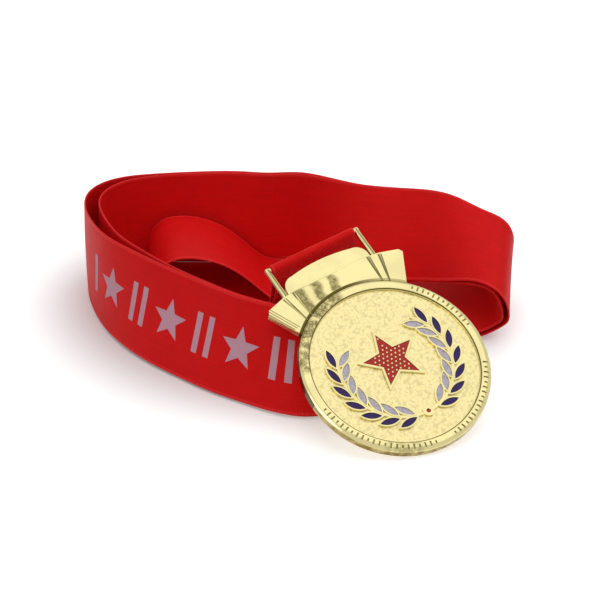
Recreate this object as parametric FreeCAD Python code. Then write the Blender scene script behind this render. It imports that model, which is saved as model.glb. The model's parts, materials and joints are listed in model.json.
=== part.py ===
"""Finisher's medal on a red neck ribbon, lying as it was set down on a table.

The metal hanger swings on the ribbon: a round bar between two posts runs through the turned end of
the ribbon. The ribbon is one 38 mm strip, doubled, standing on its edge in an open coil.

Frame: +Z up, table at Z = 0, +Y towards the back of the coil, origin at the bottom centre of the
whole object. The medal is drawn flat in its own frame (U along the bar, V from the disc's centre
to the bar, W out of the disc's face, W = 0 at its back) and then laid in place.
"""
import FreeCAD, Part
import math
import os

Vector = FreeCAD.Vector

# Disc
DISC_R = 35.0
DISC_T = 4.0
DISC_CHAMFER = 0.5
BACK_CHAMFER = 0.3
RIM_INNER_R = 30.9
RIM_STEP_W = 0.5
RIM_STEP_DROP = 0.55
RIM_CROWN_R = 32.6
RIM_FALL_IN = 0.2
RIM_FALL_OUT = 0.5
FLOOR_T = 1.8
INSERT_T = 1.0
FIT_GAP = 0.02
RELIEF_T = 0.8
ENAMEL_T = 0.5
MARK_ARCS_DEG = ((186, 262), (276, 336), (2, 46))
MARK_PITCH_DEG = 3.6
MARK_LONG = 1.9
MARK_SHORT = 1.1
MARK_W = 0.55
MARK_DEPTH = 0.45

# Emblem
STAR_CENTRE_V = 2.5
STAR_TIP_R = 13.0
STAR_WAIST_R = 5.8
STAR_WALL = 0.85
BEAD_R = 0.42
BEAD_PITCH = 1.75
BEAD_GAP = 0.12
WREATH_R = 21.0
WREATH_STEM_W = 1.1
LEAF_PAIRS = 7
LEAF_LENGTH = 9.0
LEAF_WIDTH = 3.6
LEAF_WALL = 0.55
LEAF_SPLAY_DEG = 27.0
LEAF_OFFSET = 2.35
LEAF_START_DEG = 14.0
STEM_SWEEP_DEG = 131.0
STEM_T = 0.64
KNOT_R = 2.0
BERRY_R = 0.8

# Hanger
BOW_T = 3.0
BOW_LAP_T = 1.2
SEAT_LIP = 0.6
BOW_TOP_V = 43.4
BOW_SHOULDER_U = 21.0
BOW_SHOULDER_V = 42.0
BOW_EAR_U = 28.5
BOW_EAR_V = 39.9
BOW_TIP_U = 29.5
BOW_TIP_V = 38.3
BOW_FOOT_U = 23.0
BOW_FOOT_V = 26.0
TONGUE_HALF_W = 20.0
TONGUE_BOTTOM_V = 25.0
PLEAT_COUNT = 2
PLEAT_RISE = 0.5
PLEAT_HALF_W = 0.95
PLEAT_FOOT_U = 15.3
PLEAT_FOOT_V = 26.8
PLEAT_FOOT_PITCH = 1.9
PLEAT_TIP_U = 16.4
PLEAT_TIP_V = 42.2
PLEAT_TIP_PITCH = 4.5
PLEAT_TIP_DROP = 0.9
LUG_HALF_W = 18.0
LUG_TOP_V = 50.0
LUG_SHOULDER_V = 48.7
LUG_T = 2.2
LUG_BOTTOM_V = 36.0
LUG_CORNER_R = 5.0
POST_U = 19.4
POST_R = 0.95
POST_FOOT_V = 37.0
EYE_R = 1.5
EYE_L = 1.9
BAR_R = 1.0
BAR_V = 54.4
BAR_W = 1.6
RIVET_R = 0.8
DISC_RIVET_AT_R = 33.0
DISC_RIVET_ANGLES = (66, 90, 114)
DISC_RIVET_L = 2.6
LUG_RIVET_U = 10.0
LUG_RIVET_V = 39.3
LUG_RIVET_L = 2.4

# Where the medal lies: back centre of the disc, and the three turns that lay it down
MEDAL_AT = Vector(33.4, -40.8, 18.85)
MEDAL_TURN_DEG = 33.1
MEDAL_ROLL_DEG = 9.3
MEDAL_TILT_DEG = 31.1

# Ribbon
RIBBON_W = 38.0
RIBBON_T = 0.6
WRAP_W = 36.4
WRAP_GAP = 0.08
WRAP_LEG = 5.0
LEAD_L = 2.5
STITCH_COUNT = 13
STITCH_L = 1.7
STITCH_T = 0.25

# The doubled strap from the bar to the start of the nape loop. Each row is the strap's lower edge
# (x, y, z), the direction across it to its upper edge, and half the gap between its two plies.
STRAP_ROUTE = [
    ((21.0, 6.7, 36.6), (-0.83, -0.54, -0.12), 0.90),
    ((22.9, 11.8, 25.0), (-0.85, -0.52, -0.03), 0.80),
    ((26.8, 12.3, 13.0), (-0.90, -0.42, 0.10), 0.80),
    ((32.4, 4.6, 4.4), (-0.92, -0.24, 0.30), 0.80),
    ((35.0, -9.2, 1.4), (-0.87, -0.02, 0.48), 0.80),
    ((27.6, -30.4, 1.2), (-0.60, 0.42, 0.68), 0.80),
    ((12.6, -41.6, 1.1), (-0.20, 0.64, 0.74), 0.80),
    ((1.0, -43.9, 1.0), (0.02, 0.59, 0.81), 0.80),
    ((-8.6, -40.9, 0.9), (0.12, 0.47, 0.87), 0.80),
    ((-20.5, -33.3, 0.7), (0.17, 0.30, 0.94), 0.80),
    ((-30.9, -26.3, 0.65), (0.20, 0.25, 0.95), 0.80),
    ((-43.8, -15.2, 0.65), (0.20, 0.23, 0.95), 0.90),
    ((-56.3, -2.9, 0.7), (0.20, 0.18, 0.96), 1.20),
    ((-66.3, 10.8, 0.7), (0.17, 0.10, 0.98), 1.80),
    ((-73.5, 25.6, 0.5), (0.08, 0.03, 1.00), 2.40),
    ((-78.6, 42.2, 0.4), (0.02, 0.00, 1.00), 2.80),
    ((-81.1, 56.5, 0.4), (0.00, 0.00, 1.00), 2.80),
    ((-79.4, 67.6, 0.4), (0.00, 0.00, 1.00), 2.80),
    ((-72.9, 75.5, 0.4), (0.00, 0.01, 1.00), 2.20),
    ((-60.0, 80.1, 0.42), (0.00, 0.03, 1.00), 1.10),
    ((-42.0, 80.3, 0.45), (0.00, 0.10, 1.00), 0.90),
    ((-23.0, 80.4, 0.5), (0.00, 0.105, 1.00), 0.85),
    ((-13.0, 80.3, 0.75), (0.00, 0.05, 1.00), 0.80),
    ((-4.5, 80.0, 2.1), (0.00, -0.01, 1.00), 0.80),
    ((1.0, 78.0, 3.2), (0.00, -0.03, 1.00), 0.80),
    ((6.5, 73.3, 3.4), (0.00, 0.03, 1.00), 0.80),
    ((22.0, 58.0, 3.7), (0.00, 0.40, 0.92), 0.80),
    ((43.0, 44.8, 9.6), (-0.03, 0.68, 0.73), 0.95),
    ((58.0, 28.0, 17.8), (0.06, 0.82, 0.57), 1.10),
    ((68.6, 16.6, 22.6), (0.08, 0.93, 0.36), 1.30),
    ((75.4, 10.8, 19.8), (0.10, 0.92, 0.37), 1.25),
    ((77.8, 11.0, 11.8), (0.10, 0.91, 0.40), 1.20),
    ((76.0, 15.2, 6.0), (0.08, 0.91, 0.40), 1.20),
    ((69.8, 13.8, 3.3), (0.09, 0.93, 0.34), 1.15),
    ((55.0, 16.0, 2.4), (0.10, 0.97, 0.19), 1.00),
    ((33.0, 31.5, 1.6), (0.08, 0.99, 0.06), 0.85),
    ((12.0, 38.6, 1.35), (-0.04, 1.00, 0.01), 0.80),
    ((-4.0, 40.6, 1.35), (-0.12, 0.99, 0.00), 0.80),
]

# The nape loop's profile (x, z), from the upper ply over the crest and back along the table
NAPE_ROUTE = [
    (-4.02, 2.15), (-9.0, 3.1), (-14.0, 6.6), (-21.0, 13.0), (-29.0, 18.3), (-37.0, 21.0),
    (-44.0, 21.6), (-50.0, 20.2), (-54.6, 15.8), (-56.6, 9.4), (-54.6, 3.6), (-48.0, 0.95),
    (-38.0, 0.62), (-26.0, 0.58), (-14.0, 0.55), (-4.02, 0.55),
]

# The way the strap runs where the nape loop takes over
NAPE_HEADING = Vector(-1, 0, 0)

# From the drafting frame of the rows above to the bottom centre of the whole object
TO_ORIGIN = Vector(0.56, -6.78, -0.24)

# Steps along each ribbon solid between two rows of its route
STEPS = 3

TOP_W = DISC_T
FIELD_W = FLOOR_T + INSERT_T
MEDAL_TURN = (
    FreeCAD.Rotation(Vector(0, 0, 1), MEDAL_TURN_DEG)
    * FreeCAD.Rotation(Vector(0, 1, 0), -MEDAL_ROLL_DEG)
    * FreeCAD.Rotation(Vector(1, 0, 0), MEDAL_TILT_DEG)
)
MEDAL_PLACE = FreeCAD.Placement(MEDAL_AT + TO_ORIGIN, MEDAL_TURN)


def polar(radius, angle_deg, w=0.0, centre_v=0.0):
    """Point in the medal's frame at a radius and an angle from +U."""
    angle = math.radians(angle_deg)
    return Vector(radius * math.cos(angle), centre_v + radius * math.sin(angle), w)


def prism(points, bottom, height):
    """Straight-sided solid over a closed outline of (u, v) points."""
    corners = [Vector(point[0], point[1], bottom) for point in points]
    wire = Part.makePolygon(corners + [corners[0]])
    return Part.Face(wire).extrude(Vector(0, 0, height))


def cylinder(radius, bottom, height, u=0.0, v=0.0):
    """Round solid standing along W."""
    return Part.makeCylinder(radius, height, Vector(u, v, bottom))


def rod(radius, start, end):
    """Round solid between two points."""
    run = end - start
    return Part.makeCylinder(radius, run.Length, start, run)


# ---------------------------------------------------------------- disc

def disc_blank():
    """The struck disc: chamfered edge, crowned rim with a fine inner step, sunk floor."""
    edge_w = TOP_W - RIM_FALL_OUT
    profile = [
        (RIM_INNER_R + RIM_STEP_W, TOP_W - RIM_FALL_IN),
        (RIM_INNER_R + RIM_STEP_W, TOP_W - RIM_STEP_DROP),
        (RIM_INNER_R, TOP_W - RIM_STEP_DROP),
        (RIM_INNER_R, FLOOR_T),
        (0, FLOOR_T),
        (0, 0),
        (DISC_R - BACK_CHAMFER, 0),
        (DISC_R, BACK_CHAMFER),
        (DISC_R, edge_w - DISC_CHAMFER),
        (DISC_R - DISC_CHAMFER, edge_w),
    ]
    corners = [Vector(radius, 0, w) for radius, w in profile]
    crown = Part.Arc(corners[-1], Vector(RIM_CROWN_R, 0, TOP_W), corners[0]).toShape()
    face = Part.Face(Part.Wire(Part.makePolygon(corners).Edges + [crown]))
    return face.revolve(Vector(0, 0, 0), Vector(0, 0, 1), 360)


def rim_marks():
    """Engraved dashes round the rim, in three arcs, each a short radial cut."""
    radius = (DISC_R - DISC_CHAMFER + RIM_INNER_R + RIM_STEP_W) / 2
    cuts = []
    for first, last in MARK_ARCS_DEG:
        count = int((last - first) / MARK_PITCH_DEG)
        for step in range(count + 1):
            length = MARK_LONG if step % 3 else MARK_SHORT
            cut = Part.makeBox(length, MARK_W, 2 * MARK_DEPTH)
            cut.translate(Vector(radius - length / 2, -MARK_W / 2, TOP_W - MARK_DEPTH))
            cut.rotate(Vector(0, 0, 0), Vector(0, 0, 1), first + step * MARK_PITCH_DEG)
            cuts.append(cut)
    return Part.makeCompound(cuts)


def disc_rivet_points():
    """Centres of the three rivets that hold the hanger's tongue under the rim."""
    return [polar(DISC_RIVET_AT_R, angle) for angle in DISC_RIVET_ANGLES]


def rivet_pins(points, bottom, top):
    """Rivet pins, or the holes for them, at some points."""
    return [cylinder(RIVET_R, bottom, top - bottom, point.x, point.y) for point in points]


def tongue_outline(gap):
    """Outline of the hanger's tongue under the disc, grown by a gap."""
    half = TONGUE_HALF_W + gap
    low = TONGUE_BOTTOM_V - gap
    return [(-half, low), (half, low), (half, DISC_R + 1), (-half, DISC_R + 1)]


def make_disc_body():
    recess = prism(tongue_outline(FIT_GAP), -1, 1 + BOW_LAP_T + FIT_GAP)
    return disc_blank().cut([recess, rim_marks()] + rivet_pins(disc_rivet_points(), 0, DISC_RIVET_L))


def make_centre_insert():
    return cylinder(RIM_INNER_R - FIT_GAP, FLOOR_T, INSERT_T)


# ---------------------------------------------------------------- emblem

def star_outline(inset):
    """Five-pointed star, drawn in by an inset measured square to its sides."""
    half_tip = math.atan2(STAR_WAIST_R * math.sin(math.radians(36)),
                          STAR_TIP_R - STAR_WAIST_R * math.cos(math.radians(36)))
    half_waist = half_tip + math.radians(36)
    tip = STAR_TIP_R - inset / math.sin(half_tip)
    waist = STAR_WAIST_R - inset / math.sin(half_waist)
    points = []
    for arm in range(5):
        points.append(polar(tip, 90 + 72 * arm, 0, STAR_CENTRE_V))
        points.append(polar(waist, 126 + 72 * arm, 0, STAR_CENTRE_V))
    return [(point.x, point.y) for point in points]


def make_star_frame():
    outer = prism(star_outline(0), FIELD_W, RELIEF_T)
    inner = prism(star_outline(STAR_WALL), FIELD_W - 1, RELIEF_T + 2)
    return outer.cut(inner)


def make_star_enamel():
    return prism(star_outline(STAR_WALL + FIT_GAP), FIELD_W, ENAMEL_T)


def make_star_beads():
    """Gold beads in staggered rows over the star's enamel."""
    field = prism(star_outline(STAR_WALL + BEAD_R + BEAD_GAP), FIELD_W, RELIEF_T + 1)
    beads = []
    row_pitch = BEAD_PITCH * math.sin(math.radians(60))
    rows = int(STAR_TIP_R / row_pitch) + 1
    for row in range(-rows, rows + 1):
        for column in range(-rows, rows + 1):
            u = (column + 0.5 * (row % 2)) * BEAD_PITCH
            v = STAR_CENTRE_V + row * row_pitch
            centre = Vector(u, v, FIELD_W + ENAMEL_T)
            if field.isInside(centre, 1e-6, True):
                beads.append(Part.makeSphere(BEAD_R, centre, Vector(0, 0, 1), 0, 90, 360))
    return Part.makeCompound(beads)


def leaf_solid(length, width, bottom, height):
    """Pointed leaf between two arcs, lying along +U."""
    tail = Vector(-length / 2, 0, bottom)
    tip = Vector(length / 2, 0, bottom)
    upper = Part.Arc(tail, Vector(0, width / 2, bottom), tip).toShape()
    lower = Part.Arc(tip, Vector(0, -width / 2, bottom), tail).toShape()
    return Part.Face(Part.Wire([upper, lower])).extrude(Vector(0, 0, height))


def leaf_places():
    """Placement and ring (0 outer, 1 inner) of every leaf on both branches."""
    places = []
    reach = STEM_SWEEP_DEG - LEAF_START_DEG
    for side in (-1, 1):
        for pair in range(LEAF_PAIRS):
            angle = -90 + side * (LEAF_START_DEG + reach * (pair + 0.5) / LEAF_PAIRS)
            for ring in (0, 1):
                out = 1 if ring == 0 else -1
                centre = polar(WREATH_R + out * LEAF_OFFSET, angle + side * 2.0 * ring)
                heading = angle + side * (90 - out * LEAF_SPLAY_DEG)
                turn = FreeCAD.Rotation(Vector(0, 0, 1), heading)
                places.append((FreeCAD.Placement(centre, turn), ring))
    return places


def placed(shape, placement):
    """Copy of a shape at a placement."""
    copy = shape.copy()
    copy.Placement = placement.multiply(copy.Placement)
    return copy


def stem_arc(side):
    """One branch's stem: a band from the foot of the wreath up its side."""
    outer = Part.makeCylinder(WREATH_R + WREATH_STEM_W / 2, STEM_T, Vector(0, 0, FIELD_W),
                              Vector(0, 0, 1), STEM_SWEEP_DEG)
    inner = Part.makeCylinder(WREATH_R - WREATH_STEM_W / 2, STEM_T, Vector(0, 0, FIELD_W),
                              Vector(0, 0, 1), STEM_SWEEP_DEG)
    band = outer.cut(inner)
    band.rotate(Vector(0, 0, 0), Vector(0, 0, 1), -90 if side > 0 else -90 - STEM_SWEEP_DEG)
    return band


def make_wreath_frame():
    """Gold walls round every leaf, joined by the two stems and a knot at the foot."""
    leaf = leaf_solid(LEAF_LENGTH, LEAF_WIDTH, FIELD_W, RELIEF_T)
    leaves = [placed(leaf, place) for place, _ring in leaf_places()]
    knot = cylinder(KNOT_R, FIELD_W, RELIEF_T, 0, -WREATH_R)
    solid = stem_arc(-1).fuse([stem_arc(1), knot] + leaves)
    hollow = leaf_solid(LEAF_LENGTH - 2.6 * LEAF_WALL, LEAF_WIDTH - 2 * LEAF_WALL,
                        FIELD_W - 1, RELIEF_T + 2)
    hollows = [placed(hollow, place) for place, _ring in leaf_places()]
    berry_holes = [cylinder(BERRY_R + FIT_GAP, FIELD_W - 1, 3, point.x, point.y)
                   for point in berry_points()]
    return solid.cut(hollows + berry_holes).removeSplitter()


def leaf_enamel(ring):
    """Enamel in every leaf of one ring."""
    fill = leaf_solid(LEAF_LENGTH - 2.6 * LEAF_WALL - 2 * FIT_GAP,
                      LEAF_WIDTH - 2 * LEAF_WALL - 2 * FIT_GAP, FIELD_W, ENAMEL_T)
    return Part.makeCompound([placed(fill, place) for place, number in leaf_places()
                              if number == ring])


def make_purple_enamel():
    return leaf_enamel(0)


def make_white_enamel():
    return leaf_enamel(1)


def berry_points():
    """Berries on the knot at the wreath's foot."""
    return [polar(WREATH_R, -90)]


def make_berry_enamel():
    return Part.makeCompound([cylinder(BERRY_R, FIELD_W, ENAMEL_T, point.x, point.y)
                              for point in berry_points()])


# ---------------------------------------------------------------- hanger

def bow_face(bottom):
    """Outline of the bow: a shallow arched top and two flared ends."""
    right = [Vector(BOW_SHOULDER_U, BOW_SHOULDER_V, bottom), Vector(BOW_EAR_U, BOW_EAR_V, bottom),
             Vector(BOW_TIP_U, BOW_TIP_V, bottom), Vector(BOW_FOOT_U, BOW_FOOT_V, bottom)]
    top_arc = Part.Arc(Vector(-BOW_SHOULDER_U, BOW_SHOULDER_V, bottom),
                       Vector(0, BOW_TOP_V, bottom), right[0]).toShape()
    left = [Vector(-point.x, point.y, bottom) for point in reversed(right)]
    outline = Part.makePolygon(right + left)
    return Part.Face(Part.Wire([top_arc] + outline.Edges))


def pleat(side, number):
    """Raised fold on a flared end, a thin wedge that fans out from the disc."""
    foot = Vector(side * (PLEAT_FOOT_U + PLEAT_FOOT_PITCH * number), PLEAT_FOOT_V, BOW_T)
    tip_v = PLEAT_TIP_V - PLEAT_TIP_DROP * number
    tip = Vector(side * (PLEAT_TIP_U + PLEAT_TIP_PITCH * number), tip_v, BOW_T)
    across = (tip - foot).cross(Vector(0, 0, 1)).normalize() * PLEAT_HALF_W
    ridge = Vector(0, 0, PLEAT_RISE)
    narrow = [foot - across / 4, foot + across / 4, foot + ridge / 2]
    wide = [tip - across, tip + across, tip + ridge]
    wires = [Part.makePolygon(corners + [corners[0]]) for corners in (narrow, wide)]
    return Part.makeLoft(wires, True, True)


def post_bores():
    """Sockets in the bow for the two posts."""
    return [rod(POST_R, Vector(side * POST_U, POST_FOOT_V, BAR_W), Vector(side * POST_U, 60, BAR_W))
            for side in (-1, 1)]


def lug_rivet_points():
    """Centres of the two rivets that hold the lug behind the bow."""
    return [Vector(-LUG_RIVET_U, LUG_RIVET_V, 0), Vector(LUG_RIVET_U, LUG_RIVET_V, 0)]


def make_bow_banner():
    """Bow plate round the top of the disc, with its tongue let into the disc's back."""
    plate = bow_face(0).extrude(Vector(0, 0, BOW_T))
    plate = plate.fuse([pleat(side, number) for side in (-1, 1) for number in range(PLEAT_COUNT)])
    plate = plate.cut(cylinder(DISC_R, -1, BOW_T + 3))
    lug_seat = prism([(-LUG_HALF_W, LUG_BOTTOM_V), (LUG_HALF_W, LUG_BOTTOM_V), (LUG_HALF_W, 60),
                      (-LUG_HALF_W, 60)], -1, 1 + BOW_LAP_T)
    plate = plate.cut([lug_seat] + post_bores())
    tongue = prism(tongue_outline(0), 0, BOW_LAP_T)
    tongue = tongue.common(cylinder(DISC_R + SEAT_LIP, -1, 4))
    holes = rivet_pins(disc_rivet_points(), -1, BOW_T) + rivet_pins(lug_rivet_points(), -1, LUG_RIVET_L)
    return plate.fuse(tongue).cut(holes).removeSplitter()


def make_dome_lug():
    """Arched plate above the bow that keeps the ribbon square on the bar."""
    corner = LUG_CORNER_R
    side_top = LUG_SHOULDER_V - corner
    bend = corner * (1 - math.sqrt(0.5))
    foot_l = Vector(-LUG_HALF_W, LUG_BOTTOM_V, 0)
    foot_r = Vector(LUG_HALF_W, LUG_BOTTOM_V, 0)
    side_l = Vector(-LUG_HALF_W, side_top, 0)
    side_r = Vector(LUG_HALF_W, side_top, 0)
    top_l = Vector(-LUG_HALF_W + corner, LUG_SHOULDER_V, 0)
    top_r = Vector(LUG_HALF_W - corner, LUG_SHOULDER_V, 0)
    bend_l = Vector(-LUG_HALF_W + bend, LUG_SHOULDER_V - bend, 0)
    bend_r = Vector(LUG_HALF_W - bend, LUG_SHOULDER_V - bend, 0)
    edges = [
        Part.makeLine(foot_l, foot_r),
        Part.makeLine(foot_r, side_r),
        Part.Arc(side_r, bend_r, top_r).toShape(),
        Part.Arc(top_r, Vector(0, LUG_TOP_V, 0), top_l).toShape(),
        Part.Arc(top_l, bend_l, side_l).toShape(),
        Part.makeLine(side_l, foot_l),
    ]
    plate = Part.Face(Part.Wire(edges)).extrude(Vector(0, 0, LUG_T))
    under_bow = bow_face(BOW_LAP_T).extrude(Vector(0, 0, BOW_T))
    holes = rivet_pins(lug_rivet_points(), -1, LUG_RIVET_L)
    return plate.cut([under_bow, cylinder(DISC_R + SEAT_LIP, -1, 4)] + holes)


def make_post(side):
    """Round post with an eye at its top for the bar."""
    eye_at = Vector(side * POST_U - EYE_L / 2, BAR_V, BAR_W)
    shank = rod(POST_R, Vector(side * POST_U, POST_FOOT_V, BAR_W),
                Vector(side * POST_U, BAR_V, BAR_W))
    eye = rod(EYE_R, eye_at, eye_at + Vector(EYE_L, 0, 0))
    bore = rod(BAR_R, eye_at - Vector(1, 0, 0), eye_at + Vector(EYE_L + 1, 0, 0))
    return shank.fuse(eye).cut(bore).removeSplitter()


def make_left_post():
    return make_post(-1)


def make_right_post():
    return make_post(1)


def make_ribbon_bar():
    half = POST_U + EYE_L / 2
    return rod(BAR_R, Vector(-half, BAR_V, BAR_W), Vector(half, BAR_V, BAR_W))


def make_disc_rivets():
    return Part.makeCompound(rivet_pins(disc_rivet_points(), 0, DISC_RIVET_L))


def make_lug_rivets():
    return Part.makeCompound(rivet_pins(lug_rivet_points(), 0, LUG_RIVET_L))


# ---------------------------------------------------------------- ribbon

def stations(lower, upper):
    """Run from the first row to every row, measured along the strip's middle."""
    run = [0.0]
    for row in range(1, len(lower)):
        step = lower[row] + upper[row] - lower[row - 1] - upper[row - 1]
        run.append(run[-1] + step.Length / 2)
    return run


def smooth(points, run):
    """Curve through points at given stations."""
    curve = Part.BSplineCurve()
    curve.interpolate(Points=points, Parameters=run)
    return curve


def ribbon_solid(lower, upper, offsets, start, end):
    """Closed strip between two edge curves, set off from them by a changing distance.

    Its two ends are cut square to the directions start and end.
    """
    run = stations(lower, upper)
    lower_curve = smooth(lower, run)
    upper_curve = smooth(upper, run)
    offset_curve = smooth([Vector(offset, at, 0) for offset, at in zip(offsets, run)], run)
    cuts = [run[row] + (run[row + 1] - run[row]) * step / STEPS
            for row in range(len(run) - 1) for step in range(STEPS)]
    travels = [lower_curve.tangent(at)[0] + upper_curve.tangent(at)[0] for at in cuts]
    travels[0] = start
    sections = []
    for at, travel in zip(cuts + [run[-1]], travels + [end]):
        low = lower_curve.value(at)
        high = upper_curve.value(at)
        offset = offset_curve.value(at).x
        normal = (high - low).cross(travel).normalize()
        near = normal * (offset - RIBBON_T / 2)
        far = normal * (offset + RIBBON_T / 2)
        loop = [low + near, low + far, high + far, high + near]
        sections.append(Part.makePolygon(loop + [loop[0]]))
    return Part.makeLoft(sections, True, True)


def bar_frame():
    """Bar centre, its direction, and the way the strap leaves it."""
    centre = MEDAL_PLACE.multVec(Vector(0, BAR_V, BAR_W))
    along = MEDAL_TURN.multVec(Vector(1, 0, 0))
    down = Vector(0, 0, -1) + along * along.z
    return centre, along, down.normalize()


def strap_rows():
    """Lower edge, upper edge and half gap of every row, from the end of the wrap on."""
    centre, along, down = bar_frame()
    lower = []
    upper = []
    gaps = []
    for drop in (WRAP_LEG + FIT_GAP, WRAP_LEG + LEAD_L):
        lower.append(centre + down * drop + along * (WRAP_W / 2))
        upper.append(centre + down * drop - along * (WRAP_W / 2))
        gaps.append(BAR_R + WRAP_GAP + RIBBON_T / 2)
    for edge, across, gap in STRAP_ROUTE:
        low = Vector(*edge) + TO_ORIGIN
        lower.append(low)
        upper.append(low + Vector(*across).normalize() * RIBBON_W)
        gaps.append(gap)
    return lower, upper, gaps


def make_ply(side):
    lower, upper, gaps = strap_rows()
    _centre, _along, down = bar_frame()
    return ribbon_solid(lower, upper, [side * gap for gap in gaps], down, NAPE_HEADING)


def make_nape_loop():
    edge, across, _gap = STRAP_ROUTE[-1]
    width = Vector(*across).normalize() * RIBBON_W
    lower = [Vector(x, edge[1], z) + TO_ORIGIN for x, z in NAPE_ROUTE]
    upper = [point + width for point in lower]
    return ribbon_solid(lower, upper, [0.0] * len(lower), NAPE_HEADING, -NAPE_HEADING)


def make_bar_wrap():
    """The turned end of the ribbon: over the bar and down on both sides to the seam."""
    centre, along, down = bar_frame()
    inner = BAR_R + WRAP_GAP
    outer = inner + RIBBON_T
    back = along.cross(down)
    start = centre - along * (WRAP_W / 2)

    def at(side, radius, drop):
        return start + back * (side * radius) + down * drop

    edges = [
        Part.makeLine(at(1, inner, WRAP_LEG), at(1, outer, WRAP_LEG)),
        Part.makeLine(at(1, outer, WRAP_LEG), at(1, outer, 0)),
        Part.Arc(at(1, outer, 0), at(0, 0, -outer), at(-1, outer, 0)).toShape(),
        Part.makeLine(at(-1, outer, 0), at(-1, outer, WRAP_LEG)),
        Part.makeLine(at(-1, outer, WRAP_LEG), at(-1, inner, WRAP_LEG)),
        Part.makeLine(at(-1, inner, WRAP_LEG), at(-1, inner, 0)),
        Part.Arc(at(-1, inner, 0), at(0, 0, -inner), at(1, inner, 0)).toShape(),
        Part.makeLine(at(1, inner, 0), at(1, inner, WRAP_LEG)),
    ]
    return Part.Face(Part.Wire(edges)).extrude(along * WRAP_W)


def make_seam_thread():
    """Row of stitches across both legs of the wrap, close under the bar."""
    centre, along, down = bar_frame()
    back = along.cross(down)
    pitch = WRAP_W / STITCH_COUNT
    reach = BAR_R + WRAP_GAP + RIBBON_T
    stitches = []
    for side in (-1, 1):
        for number in range(STITCH_COUNT):
            middle = centre + along * ((number + 0.5) * pitch - WRAP_W / 2)
            middle = middle + down * (WRAP_LEG - 1.2) + back * (side * (reach + STITCH_T / 2))
            ends = [middle - along * (STITCH_L / 2), middle + along * (STITCH_L / 2)]
            stitches.append(rod(STITCH_T / 2 - 0.005, ends[0], ends[1]))
    return Part.makeCompound(stitches)


MEDAL_NODES = {
    "disc_body": make_disc_body,
    "centre_insert": make_centre_insert,
    "star_frame": make_star_frame,
    "star_enamel_red": make_star_enamel,
    "star_beads": make_star_beads,
    "wreath_frame": make_wreath_frame,
    "leaf_enamel_purple": make_purple_enamel,
    "leaf_enamel_white": make_white_enamel,
    "berry_enamel_red": make_berry_enamel,
    "bow_banner": make_bow_banner,
    "dome_lug": make_dome_lug,
    "left_post": make_left_post,
    "right_post": make_right_post,
    "ribbon_bar": make_ribbon_bar,
    "disc_rivets": make_disc_rivets,
    "lug_rivets": make_lug_rivets,
}

RIBBON_NODES = {
    "ribbon_outer_ply": lambda: make_ply(1),
    "ribbon_inner_ply": lambda: make_ply(-1),
    "ribbon_nape_loop": make_nape_loop,
    "ribbon_bar_wrap": make_bar_wrap,
    "seam_thread": make_seam_thread,
}


def export(name, shape):
    """Writes one node and says what it is."""
    shape.exportStep("parts/" + name + ".step")
    print(name, "valid" if shape.isValid() else "NOT VALID", len(shape.Solids), "solids",
          round(shape.Volume, 2), "mm3, lowest", round(shape.BoundBox.ZMin, 3))
    return shape.BoundBox


def main():
    os.makedirs("parts", exist_ok=True)
    box = FreeCAD.BoundBox()
    for name, make in MEDAL_NODES.items():
        box.add(export(name, placed(make(), MEDAL_PLACE)))
    for name, make in RIBBON_NODES.items():
        box.add(export(name, make()))
    print("box", [round(value, 2) for value in (box.XMin, box.XMax, box.YMin, box.YMax,
                                                box.ZMin, box.ZMax)])
    centre, along, _down = bar_frame()
    print("bar centre", [round(value, 3) for value in centre])
    print("bar axis", [round(value, 5) for value in along])


main()
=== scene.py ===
import json
import math

import bpy
import numpy as np
from bpy.props import FloatProperty, FloatVectorProperty, PointerProperty
from mathutils import Matrix, Vector


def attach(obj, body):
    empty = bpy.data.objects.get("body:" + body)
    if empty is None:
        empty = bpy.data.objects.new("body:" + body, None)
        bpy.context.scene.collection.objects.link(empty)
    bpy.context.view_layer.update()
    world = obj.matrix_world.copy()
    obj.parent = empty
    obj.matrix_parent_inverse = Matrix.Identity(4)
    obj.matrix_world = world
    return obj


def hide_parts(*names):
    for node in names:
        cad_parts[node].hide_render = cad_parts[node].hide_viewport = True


bl_info = {
    "name": "Neck Ribbon Medal",
    "version": (1, 0, 0),
    "blender": (4, 5, 0),
    "location": "View3D > Sidebar > Medal",
    "description": "Finishes a gold-plated medal and its doubled red satin neck ribbon",
    "category": "Object",
}

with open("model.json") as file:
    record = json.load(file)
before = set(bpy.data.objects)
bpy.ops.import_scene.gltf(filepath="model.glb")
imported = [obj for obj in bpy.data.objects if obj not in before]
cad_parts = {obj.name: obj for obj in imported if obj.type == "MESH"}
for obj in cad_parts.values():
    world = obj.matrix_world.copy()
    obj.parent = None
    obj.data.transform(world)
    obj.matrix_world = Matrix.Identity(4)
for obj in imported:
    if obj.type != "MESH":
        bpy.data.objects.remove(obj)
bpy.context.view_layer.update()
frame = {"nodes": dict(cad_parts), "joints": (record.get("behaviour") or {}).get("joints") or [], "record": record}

MM = 0.001

# The hinge and the flat back give the medal's own frame: U along the bar, V towards it, W out of the face
HINGE = frame["joints"][0]
BACK = frame["record"]["mounts"][0]
BAR_CENTRE = Vector(HINGE["pos_m"])
ALONG_BAR = -Vector(HINGE["axis"]).normalized()
DISC_CENTRE = Vector(BACK["pos_m"])
OUT_OF_FACE = -Vector(BACK["axis"]).normalized()
TOWARDS_BAR = OUT_OF_FACE.cross(ALONG_BAR).normalized()
MEDAL = Matrix.Translation(DISC_CENTRE) @ Matrix((ALONG_BAR, TOWARDS_BAR, OUT_OF_FACE)).transposed().to_4x4()

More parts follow.
